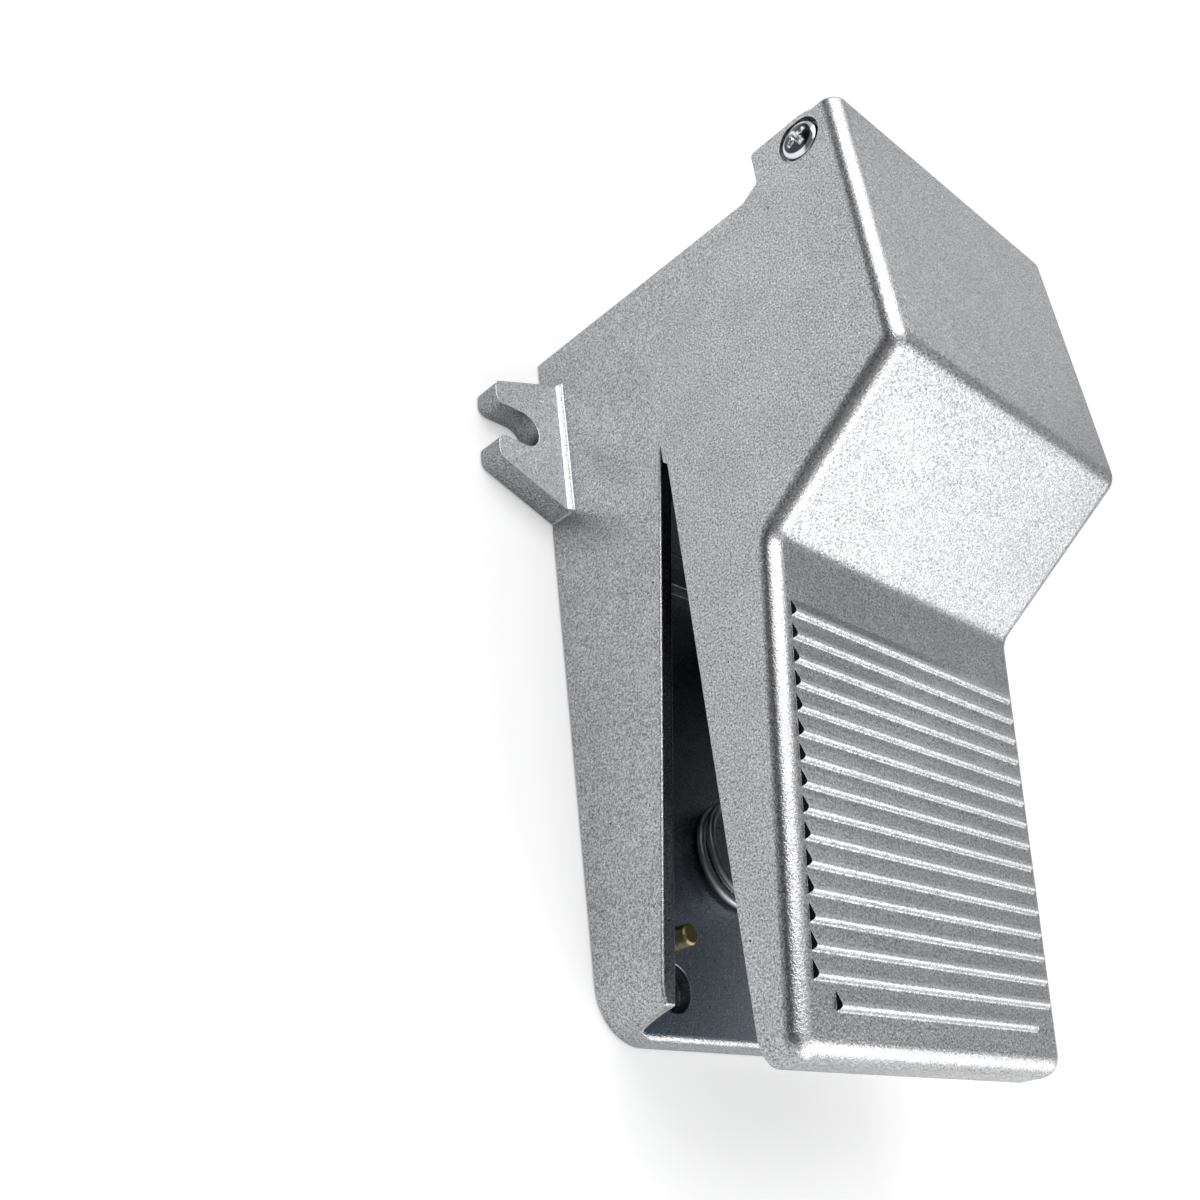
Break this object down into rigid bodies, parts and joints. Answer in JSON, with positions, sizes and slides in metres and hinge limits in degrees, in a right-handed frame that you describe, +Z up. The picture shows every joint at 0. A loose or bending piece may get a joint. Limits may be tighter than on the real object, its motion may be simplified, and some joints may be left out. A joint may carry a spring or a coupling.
{
  "type": "foot pedal air valve",
  "caption": "Die-cast foot pedal valve: a hinged, ribbed hood over a flat tray presses a spool valve with ports at the rear and springs back when released.",
  "frame": {"origin": "middle of the sole's underside, without the lugs", "axes": "+Z up, -Y towards the toe, +Y towards the ports, +X to the right as the ports are seen from the front"},
  "size_m": [0.1076, 0.169, 0.089],
  "materials": {
    "cast_aluminium": "shot-blasted die casting",
    "machined_aluminium": "machined",
    "brass": "turned",
    "bronze": "sintered",
    "gasket_sheet": "matt",
    "rubber": "matt",
    "plastic": "moulded",
    "zinc_steel": "zinc plated",
    "bright_steel": "ground",
    "spring_steel": "drawn wire"
  },
  "bodies": {
    "base": {"base_housing": "cast_aluminium", "stop_pins": "brass", "pivot_bushes": "bronze", "lower_end_cap": "machined_aluminium", "lower_gasket": "gasket_sheet", "valve_body": "machined_aluminium", "body_screws": "zinc_steel", "upper_gasket": "gasket_sheet", "upper_end_cap": "machined_aluminium", "upper_cap_screws": "zinc_steel", "guide_bush": "bronze", "plunger_seal": "rubber", "spool_bumper": "plastic", "pedal_spring": "spring_steel", "spool_spring": "spring_steel"},
    "pedal": {"pedal_cover": "cast_aluminium", "pivot_shaft": "bright_steel", "pivot_screws": "zinc_steel"},
    "spool_assembly": {"plunger": "bright_steel", "spool": "machined_aluminium", "spool_seals": "rubber"}
  },
  "joints": [
    {"name": "pedal_hinge", "type": "hinge", "parent": "base", "child": "pedal", "pos_m": [0, 0.07425, 0.0795], "axis": [1, 0, 0], "range_deg": [0, 8.5], "stiffness_Nm_per_rad": 19, "springref_deg": -6.76, "deforming": ["pedal_spring"]},
    {"name": "spool_slide", "type": "slide", "parent": "base", "child": "spool_assembly", "axis": [0, 0, -1], "range_m": [0, 0.0036], "deforming": ["spool_spring"]}
  ],
  "couplings": [
    {"joint": "spool_slide", "follows": "pedal_hinge", "m_per_rad": 0.024}
  ]
}
